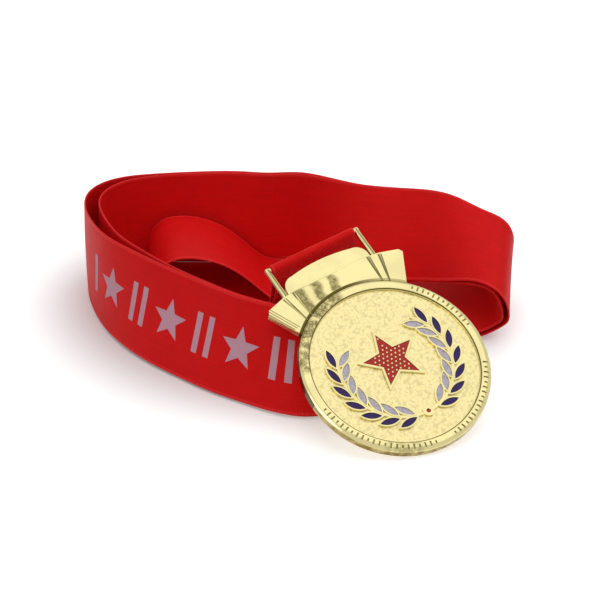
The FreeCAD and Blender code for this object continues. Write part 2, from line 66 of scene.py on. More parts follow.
# The doubled strap from the bar to the start of the nape loop, the same list as the part's source, in mm:
# lower edge (x, y, z), the direction across it to its upper edge, and half the gap between its plies
STRAP_ROUTE = [
    ((21.0, 6.7, 36.6), (-0.83, -0.54, -0.12), 0.90),
    ((22.9, 11.8, 25.0), (-0.85, -0.52, -0.03), 0.80),
    ((26.8, 12.3, 13.0), (-0.90, -0.42, 0.10), 0.80),
    ((32.4, 4.6, 4.4), (-0.92, -0.24, 0.30), 0.80),
    ((35.0, -9.2, 1.4), (-0.87, -0.02, 0.48), 0.80),
    ((27.6, -30.4, 1.2), (-0.60, 0.42, 0.68), 0.80),
    ((12.6, -41.6, 1.1), (-0.20, 0.64, 0.74), 0.80),
    ((1.0, -43.9, 1.0), (0.02, 0.59, 0.81), 0.80),
    ((-8.6, -40.9, 0.9), (0.12, 0.47, 0.87), 0.80),
    ((-20.5, -33.3, 0.7), (0.17, 0.30, 0.94), 0.80),
    ((-30.9, -26.3, 0.65), (0.20, 0.25, 0.95), 0.80),
    ((-43.8, -15.2, 0.65), (0.20, 0.23, 0.95), 0.90),
    ((-56.3, -2.9, 0.7), (0.20, 0.18, 0.96), 1.20),
    ((-66.3, 10.8, 0.7), (0.17, 0.10, 0.98), 1.80),
    ((-73.5, 25.6, 0.5), (0.08, 0.03, 1.00), 2.40),
    ((-78.6, 42.2, 0.4), (0.02, 0.00, 1.00), 2.80),
    ((-81.1, 56.5, 0.4), (0.00, 0.00, 1.00), 2.80),
    ((-79.4, 67.6, 0.4), (0.00, 0.00, 1.00), 2.80),
    ((-72.9, 75.5, 0.4), (0.00, 0.01, 1.00), 2.20),
    ((-60.0, 80.1, 0.42), (0.00, 0.03, 1.00), 1.10),
    ((-42.0, 80.3, 0.45), (0.00, 0.10, 1.00), 0.90),
    ((-23.0, 80.4, 0.5), (0.00, 0.105, 1.00), 0.85),
    ((-13.0, 80.3, 0.75), (0.00, 0.05, 1.00), 0.80),
    ((-4.5, 80.0, 2.1), (0.00, -0.01, 1.00), 0.80),
    ((1.0, 78.0, 3.2), (0.00, -0.03, 1.00), 0.80),
    ((6.5, 73.3, 3.4), (0.00, 0.03, 1.00), 0.80),
    ((22.0, 58.0, 3.7), (0.00, 0.40, 0.92), 0.80),
    ((43.0, 44.8, 9.6), (-0.03, 0.68, 0.73), 0.95),
    ((58.0, 28.0, 17.8), (0.06, 0.82, 0.57), 1.10),
    ((68.6, 16.6, 22.6), (0.08, 0.93, 0.36), 1.30),
    ((75.4, 10.8, 19.8), (0.10, 0.92, 0.37), 1.25),
    ((77.8, 11.0, 11.8), (0.10, 0.91, 0.40), 1.20),
    ((76.0, 15.2, 6.0), (0.08, 0.91, 0.40), 1.20),
    ((69.8, 13.8, 3.3), (0.09, 0.93, 0.34), 1.15),
    ((55.0, 16.0, 2.4), (0.10, 0.97, 0.19), 1.00),
    ((33.0, 31.5, 1.6), (0.08, 0.99, 0.06), 0.85),
    ((12.0, 38.6, 1.35), (-0.04, 1.00, 0.01), 0.80),
    ((-4.0, 40.6, 1.35), (-0.12, 0.99, 0.00), 0.80),
]

# The nape loop's profile (x, z) in mm, from the upper ply over the crest and back along the table
NAPE_ROUTE = [
    (-4.02, 2.15), (-9.0, 3.1), (-14.0, 6.6), (-21.0, 13.0), (-29.0, 18.3), (-37.0, 21.0),
    (-44.0, 21.6), (-50.0, 20.2), (-54.6, 15.8), (-56.6, 9.4), (-54.6, 3.6), (-48.0, 0.95),
    (-38.0, 0.62), (-26.0, 0.58), (-14.0, 0.55), (-4.02, 0.55),
]

# From the drafting frame of the rows above to the frame's origin
TO_ORIGIN = Vector((0.56, -6.78, -0.24)) * MM

NAPE_Y = STRAP_ROUTE[-1][0][1]

# The turned end of the ribbon over the bar, and the straight leads below it
WRAP_W = 0.0364
WRAP_LEG = 0.005
WRAP_MID_R = 0.00138
LEAD_DROPS = (0.00502, 0.0075)
STITCH_COUNT = 13
STITCH_L = 0.0017
STITCH_R = 0.00012
STITCH_DROP = WRAP_LEG - 0.0012
STITCH_OUT = WRAP_MID_R + 0.0004

# The ribbon's slow cupping along its route: its depth, how many waves it makes and where the first starts
CUP_DEPTH = 0.00045
CUP_WAVES = 2.6
CUP_START = 0.6

# The weave, and how far the underside is moved across the ribbon's map to tell it from the face
WARP_PITCH = 0.00042
WEFT_PITCH = 0.00055
RIB_PITCH = 0.00085
SELVEDGE_PITCH = 0.0009
TWIST_PITCH = 0.0005
UNDERSIDE_V = 0.1

# Runs along the ribbon, from the bar, between which the print shows, the place of its bars in a cell and
# their half width, and how far the ribbed roll reaches from the bar's middle
PRINT_START = 0.056
PRINT_END = 0.192
PRINT_BAR_SHARE = 0.415
PRINT_BAR_HALF = 0.0013
ROLL_R = 0.0023

# The stippled field inside the rim
FIELD_R = 0.03087
FIELD_W = 0.0028
FIELD_T = 0.0007
FIELD_CELLS = 236

# Widths of the rounded edges of the finished nodes
DISC_ROUND = 0.00009
WALL_ROUND = 0.00012
ENAMEL_ROUND = 0.00008
BERRY_ROUND = 0.0002
BAR_ROUND = 0.00025

# The disc's crowned rim, the patches of painted dark reflection on it (U, V, radius), the bow's left ear with its
# painted shade lines and layers, and the streaks of painted dark reflection across the bow, in millimetres of the
# medal's frame
DISC_R_MM = 35.0
RIM_TOP_MM = 4.0
CROWN_R_MM = 32.6
CROWN_FALL = 0.139
FLOOR_T_MM = 1.8
RIM_REFLECTION_PATCHES = ((-8.0, 32.8, 7.5), (-16.0, 29.5, 7.5), (-23.5, 24.0, 7.0), (-29.0, 17.0, 6.5))
STEP_R_MM = 31.4
BOW_T_MM = 3.0
EAR_TIP = (-29.5, 38.3)
EAR_SQUARE = (0.884, 0.467)
EAR_LINE_PITCH = 0.95
LAYER_PITCH = 0.85
STREAK_U = -17.6
STREAK_PITCH = 6.6
STREAK_COUNT = 3.0
STREAK_TOP_V = 42.3

# The posts of the hanger
POST_U = 0.0194
POST_R = 0.00105
POST_FOOT = 0.037
POST_TIP = 0.05545
BAR_W = 0.0016

# The camera, and the middle of the shaded table and the distances over which it turns white
CAMERA_PLACE = (0.00056, -0.75328, 0.42168)
SHADE_CENTRE = Vector((-0.01, 0.035, 0))
SHADE_REACH = (0.060, 0.110)


# ---------------------------------------------------------------- sizes and colours

class RibbonSettings(bpy.types.PropertyGroup):
    """Sizes and colours of the ribbon."""
    width: FloatProperty(name="Width", description="Width of the ribbon from selvedge to selvedge",
                         default=0.038, min=0.02, max=0.06, unit="LENGTH")
    thickness: FloatProperty(name="Thickness", description="Thickness of the woven satin",
                             default=0.0006, min=0.0002, max=0.002, unit="LENGTH")
    selvedge: FloatProperty(name="Selvedge", description="Width of the close-woven band along each edge",
                            default=0.0012, min=0.0, max=0.004, unit="LENGTH")
    row_pitch: FloatProperty(name="Row pitch", description="Run of ribbon between two rows of the mesh",
                             default=0.002, min=0.0005, max=0.01, unit="LENGTH")
    dye: FloatVectorProperty(name="Dye", description="Colour of the satin face",
                             default=(0.80, 0.0095, 0.010), size=3, min=0, max=1, subtype="COLOR")
    print_ink: FloatVectorProperty(name="Print ink", description="Colour of the printed motifs",
                                   default=(0.60, 0.44, 0.54), size=3, min=0, max=1, subtype="COLOR")
    print_pitch: FloatProperty(name="Print pitch",
                               description="Run of ribbon from one printed star to the next",
                               default=0.034, min=0.01, max=0.2, unit="LENGTH")
    print_height: FloatProperty(name="Print height", description="Height of the printed motifs",
                                default=0.0155, min=0.004, max=0.03, unit="LENGTH")


class MedalSettings(bpy.types.PropertyGroup):
    """Sizes and colours of the medal."""
    gold: FloatVectorProperty(name="Gold", description="Colour of the polished plate",
                              default=(0.83, 0.73, 0.35), size=3, min=0, max=1, subtype="COLOR")
    satin_gold: FloatVectorProperty(name="Satin gold", description="Colour of the stippled field",
                                    default=(0.86, 0.74, 0.36), size=3, min=0, max=1, subtype="COLOR")
    # Painted shade and painted dark reflection on the plate: in its grooves, steps, folds and layers, and in its
    # crackled patches and streaks
    shade_and_reflection: FloatVectorProperty(name="Tarnish", description="Colour of the dull olive blooms on the plate",
                                 default=(0.11, 0.085, 0.016), size=3, min=0, max=1, subtype="COLOR")
    red_enamel: FloatVectorProperty(name="Red enamel", description="Colour of the star and the berry",
                                    default=(0.52, 0.022, 0.014), size=3, min=0, max=1, subtype="COLOR")
    purple_enamel: FloatVectorProperty(name="Purple enamel", description="Colour of the outer leaves",
                                       default=(0.035, 0.012, 0.12), size=3, min=0, max=1, subtype="COLOR")
    white_enamel: FloatVectorProperty(name="White enamel", description="Colour of the inner leaves",
                                      default=(0.58, 0.53, 0.60), size=3, min=0, max=1, subtype="COLOR")
    pebble: FloatProperty(name="Pebble", description="Size of one pebble of the stippled field",
                          default=0.00095, min=0.0003, max=0.003, unit="LENGTH")
    pebble_rise: FloatProperty(name="Pebble rise", description="Height of the pebbles over their grooves",
                               default=0.00014, min=0.0, max=0.0005, unit="LENGTH")
    edge_round: FloatProperty(name="Edge rounding", description="Width of the rounded plate edges",
                              default=0.0003, min=0.0, max=0.001, unit="LENGTH")


class StageSettings(bpy.types.PropertyGroup):
    """The table, the lamps and the camera."""
    floor: FloatVectorProperty(name="Table", description="Colour of the table top",
                               default=(0.86, 0.86, 0.86), size=3, min=0, max=1, subtype="COLOR")
    overhead: FloatProperty(name="Overhead lamp", description="Power of the soft lamp overhead",
                            default=3.0, min=0, max=200, unit="POWER")
    glint: FloatProperty(name="Glint lamp", description="Power of the overhead lamp that the metal mirrors",
                         default=1.6, min=0, max=200, unit="POWER")
    side: FloatProperty(name="Side lamp", description="Power of the soft lamp at the front left",
                        default=1.8, min=0, max=200, unit="POWER")
    room: FloatProperty(name="Room light", description="Strength of the light from all round",
                        default=0.36, min=0, max=2)
    view_angle: FloatProperty(name="View angle", description="Horizontal angle of view of the camera",
                              default=math.radians(15.0), min=0.05, max=2, subtype="ANGLE")
    elevation: FloatProperty(name="Elevation", description="How far the camera looks down",
                             default=math.radians(28.0), min=0, max=1.5, subtype="ANGLE")


SETTINGS = {"medal_ribbon": RibbonSettings, "medal_metal": MedalSettings, "medal_stage": StageSettings}


# ---------------------------------------------------------------- modelling helpers

def clear_selection():
    """Leaves edit mode and selects nothing."""
    if bpy.context.object and bpy.context.object.mode != "OBJECT":
        bpy.ops.object.mode_set(mode="OBJECT")
    bpy.ops.object.select_all(action="DESELECT")


def activate(piece):
    """Makes a piece the only one selected."""
    clear_selection()
    piece.select_set(True)
    bpy.context.view_layer.objects.active = piece


def new_piece(name):
    """The primitive just added, under its own name."""
    piece = bpy.context.active_object
    piece.name = name
    piece.data.name = name
    return piece


def add_object(name, mesh):
    """Puts a mesh in the scene as the active piece."""
    clear_selection()
    piece = bpy.data.objects.new(name, mesh)
    bpy.context.scene.collection.objects.link(piece)
    activate(piece)
    return piece


def pick(piece, kind, test):
    """Enters edit mode with the vertices, edges or faces of a piece that pass a test selected."""
    activate(piece)
    mesh = piece.data
    for group in (mesh.vertices, mesh.edges, mesh.polygons):
        group.foreach_set("select", [False] * len(group))
    if kind == "FACE":
        for face in mesh.polygons:
            face.select = bool(test(face))
    elif kind == "EDGE":
        for edge in mesh.edges:
            ends = [mesh.vertices[index].co for index in edge.vertices]
            edge.select = bool(test(*ends))
    else:
        for vertex in mesh.vertices:
            vertex.select = bool(test(vertex.co))
    bpy.context.tool_settings.mesh_select_mode = (kind == "VERT", kind == "EDGE", kind == "FACE")
    bpy.ops.object.mode_set(mode="EDIT")


def done():
    """Leaves edit mode."""
    bpy.ops.object.mode_set(mode="OBJECT")


def modify(piece, kind, **settings):
    """Adds a modifier with its settings and applies it."""
    activate(piece)
    modifier = piece.modifiers.new(kind.lower(), kind)
    for name, value in settings.items():
        setattr(modifier, name, value)
    bpy.ops.object.modifier_apply(modifier=modifier.name)


def apply_place(piece, place=None):
    """Puts a piece's place, turn and size into its mesh."""
    activate(piece)
    if place is not None:
        piece.matrix_world = place @ piece.matrix_world
    bpy.ops.object.transform_apply(location=True, rotation=True, scale=True)


def outward(piece):
    """Turns all the faces of a closed piece outwards."""
    pick(piece, "FACE", lambda face: True)
    bpy.ops.mesh.normals_make_consistent(inside=False)
    done()


def join(pieces, name):
    """Makes several pieces one."""
    clear_selection()
    for piece in pieces:
        piece.select_set(True)
    bpy.context.view_layer.objects.active = pieces[0]
    bpy.ops.object.join()
    return new_piece(name)


def smooth_shade(piece, degrees=35.0):
    """Shades a piece smoothly except over its sharper corners."""
    activate(piece)
    bpy.ops.object.shade_smooth_by_angle(angle=math.radians(degrees))


def settle(piece, body, slot, material, *nodes):
    """Gives a finished piece its material and its body, and hides the nodes that it stands for."""
    piece.data.materials.clear()
    piece.data.materials.append(material)
    if nodes:
        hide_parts(*nodes)
    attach(piece, body)
    return piece


def dress(node, material):
    """Gives a carried-over node its material."""
    piece = frame["nodes"][node]
    piece.data.materials.clear()
    piece.data.materials.append(material)


def rounded_copy(node, name, width, segments=2, angle=30.0):
    """Copy of a node with its triangles merged and its edges rounded over."""
    piece = add_object(name, frame["nodes"][node].data.copy())
    bpy.ops.mesh.customdata_custom_splitnormals_clear()
    pick(piece, "FACE", lambda face: True)
    bpy.ops.mesh.remove_doubles(threshold=0.000002)
    bpy.ops.mesh.dissolve_limited(angle_limit=math.radians(0.6))
    done()
    modify(piece, "BEVEL", width=width, segments=segments, limit_method="ANGLE",
           angle_limit=math.radians(angle), use_clamp_overlap=False)
    smooth_shade(piece, 40.0)
    modify(piece, "WEIGHTED_NORMAL", keep_sharp=True)
    return piece


def finish_node(node, name, slot, width, segments=2, angle=30.0):
    """Replaces one of the medal's nodes with its rounded copy, in the finish of a slot."""
    piece = rounded_copy(node, name, width, segments, angle)
    return settle(piece, "medal", slot, finish_named(slot), node)


# ---------------------------------------------------------------- materials

class Number:
    """A value in a material. Arithmetic on it adds Math nodes."""

    def __init__(self, finish, socket):
        self.finish = finish
        self.socket = socket

    def apply(self, operation, *values):
        node = self.finish.node("ShaderNodeMath", {"operation": operation},
                                dict(enumerate((self,) + values)))
        return Number(self.finish, node.outputs[0])

    def __add__(self, other):
        return self.apply("ADD", other)

    def __sub__(self, other):
        return self.apply("SUBTRACT", other)

    def __mul__(self, other):
        return self.apply("MULTIPLY", other)

    def __truediv__(self, other):
        return self.apply("DIVIDE", other)

    def __lt__(self, other):
        return self.apply("LESS_THAN", other)

    def __gt__(self, other):
        return self.apply("GREATER_THAN", other)

    def __rsub__(self, other):
        node = self.finish.node("ShaderNodeMath", {"operation": "SUBTRACT"}, {0: other, 1: self})
        return Number(self.finish, node.outputs[0])

    __radd__ = __add__
    __rmul__ = __mul__

    def __abs__(self):
        return self.apply("ABSOLUTE")

    def floor(self):
        return self.apply("FLOOR")

    def sine(self):
        return self.apply("SINE")

    def wave(self, pitch):
        """Sine wave that repeats at a pitch."""
        return (self * (2 * math.pi / pitch)).sine()

    def cosine(self):
        return self.apply("COSINE")

    def highest(self, other):
        return self.apply("MAXIMUM", other)

    def lowest(self, other):
        return self.apply("MINIMUM", other)

    def ramp(self, low, high):
        """0 below low and 1 above high, easing between."""
        node = self.finish.node("ShaderNodeMapRange", {"interpolation_type": "SMOOTHSTEP"},
                                {"Value": self, "From Min": low, "From Max": high})
        return Number(self.finish, node.outputs["Result"])


class Finish:
    """A material, built one node at a time."""

    def __init__(self, name):
        self.material = bpy.data.materials.new("fine_" + name)
        self.material.use_nodes = True
        self.tree = self.material.node_tree
        self.tree.nodes.clear()

    def node(self, kind, settings=None, sockets=None):
        """Adds a node, with its settings first and then the values or links of its sockets."""
        made = self.tree.nodes.new(kind)
        for name, value in (settings or {}).items():
            setattr(made, name, value)
        for name, value in (sockets or {}).items():
            socket = made.inputs[name]
            if isinstance(value, Number):
                self.tree.links.new(value.socket, socket)
            elif isinstance(value, bpy.types.NodeSocket):
                self.tree.links.new(value, socket)
            else:
                socket.default_value = value
        return made

    def place(self):
        """Place in the piece, in metres."""
        return self.node("ShaderNodeTexCoord").outputs["Object"]

    def along(self, point, direction, origin):
        """Distance of a point from an origin along a direction."""
        offset = self.node("ShaderNodeVectorMath", {"operation": "SUBTRACT"}, {0: point, 1: origin})
        run = self.node("ShaderNodeVectorMath", {"operation": "DOT_PRODUCT"},
                        {0: offset.outputs[0], 1: direction})
        return Number(self, run.outputs["Value"])

    def noise(self, point, scale, detail=2.0, roughness=0.5):
        """Soft random value from 0 to 1."""
        node = self.node("ShaderNodeTexNoise", None,
                         {"Vector": point, "Scale": scale, "Detail": detail, "Roughness": roughness})
        return Number(self, node.outputs["Fac"])

    def reach(self, point, origin, direction):
        """Distance of a point from a line through an origin."""
        offset = self.node("ShaderNodeVectorMath", {"operation": "SUBTRACT"}, {0: point, 1: origin})
        moment = self.node("ShaderNodeVectorMath", {"operation": "CROSS_PRODUCT"},
                           {0: offset.outputs[0], 1: direction})
        size = self.node("ShaderNodeVectorMath", {"operation": "LENGTH"}, {0: moment.outputs[0]})
        return Number(self, size.outputs["Value"])

    def vector(self, x, y, z=0.0):
        """Vector from three values."""
        return self.node("ShaderNodeCombineXYZ", None, {0: x, 1: y, 2: z}).outputs[0]

    def mix(self, share, first, second):
        """Colour between two."""
        node = self.node("ShaderNodeMix", {"data_type": "RGBA"},
                         {0: share, 6: opaque(first), 7: opaque(second)})
        return node.outputs[2]

    def bump(self, height, distance, strength=1.0, under=None):
        """Small relief from a height."""
        sockets = {"Height": height, "Distance": distance, "Strength": strength}
        if under is not None:
            sockets["Normal"] = under
        return self.node("ShaderNodeBump", None, sockets).outputs[0]

    def surface(self, **sockets):
        """The shader itself."""
        values = {name.replace("_", " "): value for name, value in sockets.items()}
        shader = self.node("ShaderNodeBsdfPrincipled", None, values)
        self.node("ShaderNodeOutputMaterial", None, {"Surface": shader.outputs[0]})
        return self.material


def opaque(colour):
    """A colour with its alpha, or the socket as it is."""
    if isinstance(colour, (bpy.types.NodeSocket, Number)):
        return colour
    return (colour[0], colour[1], colour[2], 1.0)


def shade(colour, share):
    """A colour made darker or lighter."""
    return tuple(min(1.0, channel * share) for channel in colour)


def medal_axes(finish, point):
    """U, V and W of a point in the medal's own frame, in millimetres."""
    return [finish.along(point, direction, DISC_CENTRE) * (1.0 / MM)
            for direction in (ALONG_BAR, TOWARDS_BAR, OUT_OF_FACE)]


def near(u, v, centre_u, centre_v, radius):
    """1 at a place on the medal's face, fading to 0 at a radius from it."""
    across = (u - centre_u) / radius
    up = (v - centre_v) / radius
    return 1.0 - (across * across + up * up).ramp(0.25, 1.0)


def polished_gold(name, colour, shade_and_reflection):
    """Mirror-polished plate: soft dents and fine wiping lines, with painted shade in its grooves, steps, folds and
    layers and painted dark reflection in crackled patches, streaks, broad mottling and on the lower wall.
    """
    finish = Finish(name)
    point = finish.place()
    u, v, w = medal_axes(finish, point)
    radius = (u * u + v * v).apply("SQRT")
    dents = finish.noise(point, 170.0, 2.0, 0.5)
    ripple = finish.noise(point, 620.0, 3.0, 0.6)
    patch = finish.noise(point, 330.0, 4.0, 0.62)
    speck = finish.noise(point, 1500.0, 3.0, 0.65)
    on_rim = (radius > STEP_R_MM) * (radius < DISC_R_MM + 0.1) * (w > FLOOR_T_MM)
    # Crackled dull patches on the rim are painted dark reflection, on a rougher and bumpier surface there
    places = near(u, v, -16.0, -29.0, 8.0) * 0.5
    for patch_u, patch_v, patch_r in RIM_REFLECTION_PATCHES:
        places = places.highest(near(u, v, patch_u, patch_v, patch_r))
    places = places * on_rim
    reflection_patch = patch.ramp(0.36, 0.54) * (0.50 + 0.45 * speck.ramp(0.36, 0.60)) * places
    # Soft streaks of painted dark reflection across the bow
    streaks = bow_reflection_streaks(finish, point, u, v, w)
    fall = radius - CROWN_R_MM
    crown = RIM_TOP_MM - fall * fall * CROWN_FALL
    # Painted shade in the engraved marks, along the inner step and where the rim stands over the bow
    groove_shade = (crown - w).ramp(0.10, 0.30) * on_rim * (w > BOW_T_MM + 0.15)
    step = (1.0 - abs(radius - STEP_R_MM + 0.20).ramp(0.14, 0.28)) * (w > FIELD_W / MM)
    side = (w < BOW_T_MM + 0.2) * (1.0 - abs(radius - DISC_R_MM - 0.3).ramp(0.50, 0.85))
    side = side * (v > 0.0) * (1.0 - 0.5 * (u - 8.0).ramp(-6.0, 10.0))
    # Painted dark reflection on the lower part of the disc's outer wall
    wall = (1.0 - (w - BOW_T_MM - 0.2).ramp(-0.4, 0.1)) * (radius > DISC_R_MM - 0.15) * (v < 20.0)
    # Painted shade in the ear's folds, along its ridge lines and between its layers
    fold = (1.0 - abs(w - BOW_T_MM - 0.22).ramp(0.14, 0.19)) * (abs(u) > 12.0) * (radius > DISC_R_MM)
    ridge = (u - EAR_TIP[0]) * EAR_SQUARE[0] + (v - EAR_TIP[1]) * EAR_SQUARE[1]
    lines = ridge.wave(EAR_LINE_PITCH).ramp(0.0, 0.8) * (1.0 - ridge.ramp(2.3, 3.0))
    lines = lines * (u < -22.0) * (v > 29.0) * (radius > DISC_R_MM)
    layers = w.wave(LAYER_PITCH).ramp(0.1, 0.7) * (w < BOW_T_MM - 0.3) * (radius > DISC_R_MM + 0.2)
    # All the painted shade, with the painted dark reflection of the streaks
    dark = (groove_shade * 0.8).highest(step * 0.95).highest(side).highest(fold * 0.8).highest(layers * 0.85)
    dark = dark.highest(lines * 0.8).highest(streaks)
    # Broad random darker zones over the plate: painted dark reflection
    reflection_mottle = finish.noise(point, 90.0, 3.0, 0.55)
    base = finish.mix(reflection_mottle.ramp(0.35, 0.75) * 0.6, colour, shade(colour, 0.80))
    # The deeper gold of the painted reflection on the lower wall
    wall_reflection = (colour[0] * 0.32, colour[1] * 0.24, colour[2] * 0.10)
    base = finish.mix(wall * (0.55 + 0.45 * patch.ramp(0.40, 0.60)), base, wall_reflection)
    base = finish.mix(dark, base, shade_and_reflection)
    base = finish.mix(reflection_patch * 0.92, base, shade_and_reflection)
    relief = finish.bump(dents, 0.00022, 0.55)
    relief = finish.bump(ripple, 0.00003, 0.35, relief)
    relief = finish.bump(speck * reflection_patch, 0.00006, 0.8, relief)
    return finish.surface(Base_Color=base, Metallic=1.0, Roughness=0.09 + 0.07 * reflection_mottle + 0.16 * reflection_patch,
                          Normal=relief)


def bow_reflection_streaks(finish, point, u, v, w):
    """Painted dark reflection that runs across the bow in soft streaks, each a little bent."""
    ragged = finish.noise(point, 260.0, 3.0, 0.6)
    mottle = finish.noise(point, 800.0, 3.0, 0.6)
    place = (u - STREAK_U + (ragged - 0.5) * 3.0 + (v * 0.9).sine() * 0.4) / STREAK_PITCH
    wave = abs(place - place.floor() - 0.5)
    reflection_band = 1.0 - wave.ramp(0.14, 0.40)
    span = (place > 0.0) * (place < STREAK_COUNT)
    length = 1.0 - (v - STREAK_TOP_V).ramp(-0.6, 0.5)
    on_bow = (w > BOW_T_MM - 0.2) * ((u * u + v * v) > DISC_R_MM * DISC_R_MM)
    return reflection_band * span * length * on_bow * (0.55 + 0.30 * mottle.ramp(0.35, 0.6))


def satin_gold(name, colour, rise):
    """Stippled field: satin tops, painted shade in the grooves and a fine frosted grain."""
    finish = Finish(name)
    point = finish.place()
    height = finish.along(point, OUT_OF_FACE, DISC_CENTRE)
    # Painted shade in the grooves between the pebbles
    groove_shade = 1.0 - height.ramp(FIELD_W - 0.55 * rise, FIELD_W - 0.02 * rise)
    grain = finish.noise(point, 2600.0, 2.0, 0.6)
    spread = finish.noise(point, 420.0, 3.0, 0.55)
    base = finish.mix(spread.ramp(0.3, 0.75) * 0.12, colour, shade(colour, 0.90))
    base = finish.mix(groove_shade, base, shade(colour, 0.78))
    relief = finish.bump(grain, 0.00003, 0.7)
    return finish.surface(Base_Color=base, Metallic=1.0, Roughness=0.26 + 0.14 * grain, Normal=relief)


def enamel(name, colour):
    """Soft enamel: glossy, slightly sunk and clouded, with pin specks."""
    finish = Finish(name)
    point = finish.place()
    cloud = finish.noise(point, 700.0, 3.0, 0.6)
    speck = finish.noise(point, 5200.0, 1.0, 0.5)
    base = finish.mix(cloud.ramp(0.3, 0.7), shade(colour, 0.80), shade(colour, 1.12))
    base = finish.mix(speck.ramp(0.66, 0.74) * 0.3, base, shade(colour, 1.7))
    relief = finish.bump(cloud, 0.00006, 0.5)
    return finish.surface(Base_Color=base, Roughness=0.22 + 0.12 * cloud, Specular_IOR_Level=0.2,
                          Coat_Weight=0.08, Coat_Roughness=0.06, Normal=relief)


def star_mask(x, y, tip, waist):
    """1 inside a five-pointed star about the origin."""
    reach = (x * x + y * y).apply("SQRT")
    fifth = math.radians(72.0)
    turn = x.apply("ARCTAN2", y) / fifth + 10.0
    fold = abs(turn - turn.floor() - 0.5)
    angle = (0.5 - fold) * fifth
    side_x = waist * math.sin(math.radians(36))
    side_y = tip - waist * math.cos(math.radians(36))
    limit = side_x * tip
    edge = reach * (angle.cosine() * side_x + angle.sine() * side_y)
    return 1.0 - edge.ramp(limit * 0.975, limit * 1.025)


def printed_motifs(u, v, ribbon):
    """Stars with a pair of bars between them, printed on the strap's outer face."""
    cell = (u - PRINT_START) / ribbon.print_pitch
    x = (cell - cell.floor() - 0.5) * ribbon.print_pitch
    y = v - ribbon.width / 2
    half = ribbon.print_height / 2
    soft = 0.00012
    star = star_mask(x, y, half * 1.06, half * 0.46)
    off_middle = abs(x)
    off_bar = abs(off_middle - ribbon.print_pitch * PRINT_BAR_SHARE)
    bar = 1.0 - off_bar.ramp(PRINT_BAR_HALF - soft, PRINT_BAR_HALF + soft)
    bar = bar * (1.0 - abs(y).ramp(half - soft, half + soft))
    inside = (u > PRINT_START) * (u < PRINT_END) * (v < ribbon.width)
    return star.highest(bar) * inside


def woven_satin(name, ribbon):
    """Red satin: fine warp and weft, streaks of dye, ribbed selvedges and worn print, with a painted highlight on
    the selvedges and on the roll over the bar.
    """
    finish = Finish(name)
    strip = finish.node("ShaderNodeUVMap", {"uv_map": "strip"}).outputs[0]
    split = finish.node("ShaderNodeSeparateXYZ", None, {0: strip})
    u = Number(finish, split.outputs[0])
    side_v = Number(finish, split.outputs[1])
    inner = side_v > UNDERSIDE_V / 2
    v = side_v - inner * UNDERSIDE_V
    warp = v.wave(WARP_PITCH)
    weft = u.wave(WEFT_PITCH)
    rib = v.wave(RIB_PITCH)
    edge = v.lowest(ribbon.width - v)
    selvedge = 1.0 - edge.ramp(ribbon.selvedge * 0.85, ribbon.selvedge * 1.15)
    streak = finish.noise(finish.vector(u * 45.0, v * 1500.0, inner * 7.0), 1.0, 2.0, 0.5)
    cloud = finish.noise(finish.vector(u * 130.0, v * 130.0, inner * 3.0), 1.0, 3.0, 0.55)
    slub = finish.noise(finish.vector(u * 2200.0, v * 500.0, inner * 5.0), 1.0, 2.0, 0.6)
    on_bar = finish.reach(finish.place(), BAR_CENTRE, ALONG_BAR) < ROLL_R
    dye = tuple(ribbon.dye)
    base = finish.mix(streak.ramp(0.30, 0.72) * 0.32, dye, shade(dye, 0.74))
    base = finish.mix(cloud.ramp(0.35, 0.75) * 0.30, base, shade(dye, 0.80))
    base = finish.mix(slub.ramp(0.55, 0.72) * 0.22, base, shade(dye, 1.35))
    # Lighter, ribbed selvedges: a painted highlight
    base = finish.mix(selvedge * (0.55 + 0.25 * u.wave(SELVEDGE_PITCH)), base,
                      (min(1.0, dye[0] * 1.2), dye[1] * 4, dye[2] * 4))
    # Lighter on the roll over the bar, more so on each rib: a painted highlight
    base = finish.mix(on_bar * (0.20 + 0.20 * rib), base, shade(dye, 1.10))
    ink = printed_motifs(u, side_v, ribbon)
    cover = ink * (0.86 - 0.22 * slub.ramp(0.5, 0.75) - 0.10 * (1.0 + weft) * 0.5)
    base = finish.mix(cover, base, tuple(ribbon.print_ink))
    threads = warp * 0.5 + weft * 0.35 + slub * 0.6 + selvedge * 0.8 * u.wave(SELVEDGE_PITCH)
    relief = finish.bump(threads, 0.00003, 0.5)
    relief = finish.bump(rib * on_bar, 0.00008, 0.6, relief)
    return finish.surface(Base_Color=base, Roughness=0.44 + 0.12 * cloud + 0.16 * ink, Normal=relief,
                          Specular_IOR_Level=0.14, Specular_Tint=(1.0, 0.30, 0.28, 1.0),
                          Sheen_Weight=0.03, Sheen_Roughness=0.35, Sheen_Tint=(1.0, 0.10, 0.09, 1.0))


def twisted_thread(name, colour):
    """Sewing thread: two plies twisted, with a dull lustre and painted shade and highlight banded along the twist.
    """
    finish = Finish(name)
    point = finish.place()
    fuzz = finish.noise(point, 9000.0, 2.0, 0.6)
    run = finish.along(point, ALONG_BAR, BAR_CENTRE)
    twist = (run * (2 * math.pi / TWIST_PITCH) + fuzz * 2.0).sine()
    # Darker and lighter bands along the twist: painted shade and highlight on the plies
    base = finish.mix(twist.ramp(-0.6, 0.8), shade(colour, 0.65), shade(colour, 1.15))
    relief = finish.bump(twist + fuzz * 0.6, 0.00003, 0.7)
    return finish.surface(Base_Color=base, Roughness=0.55 + 0.2 * fuzz, Sheen_Weight=0.2, Normal=relief)


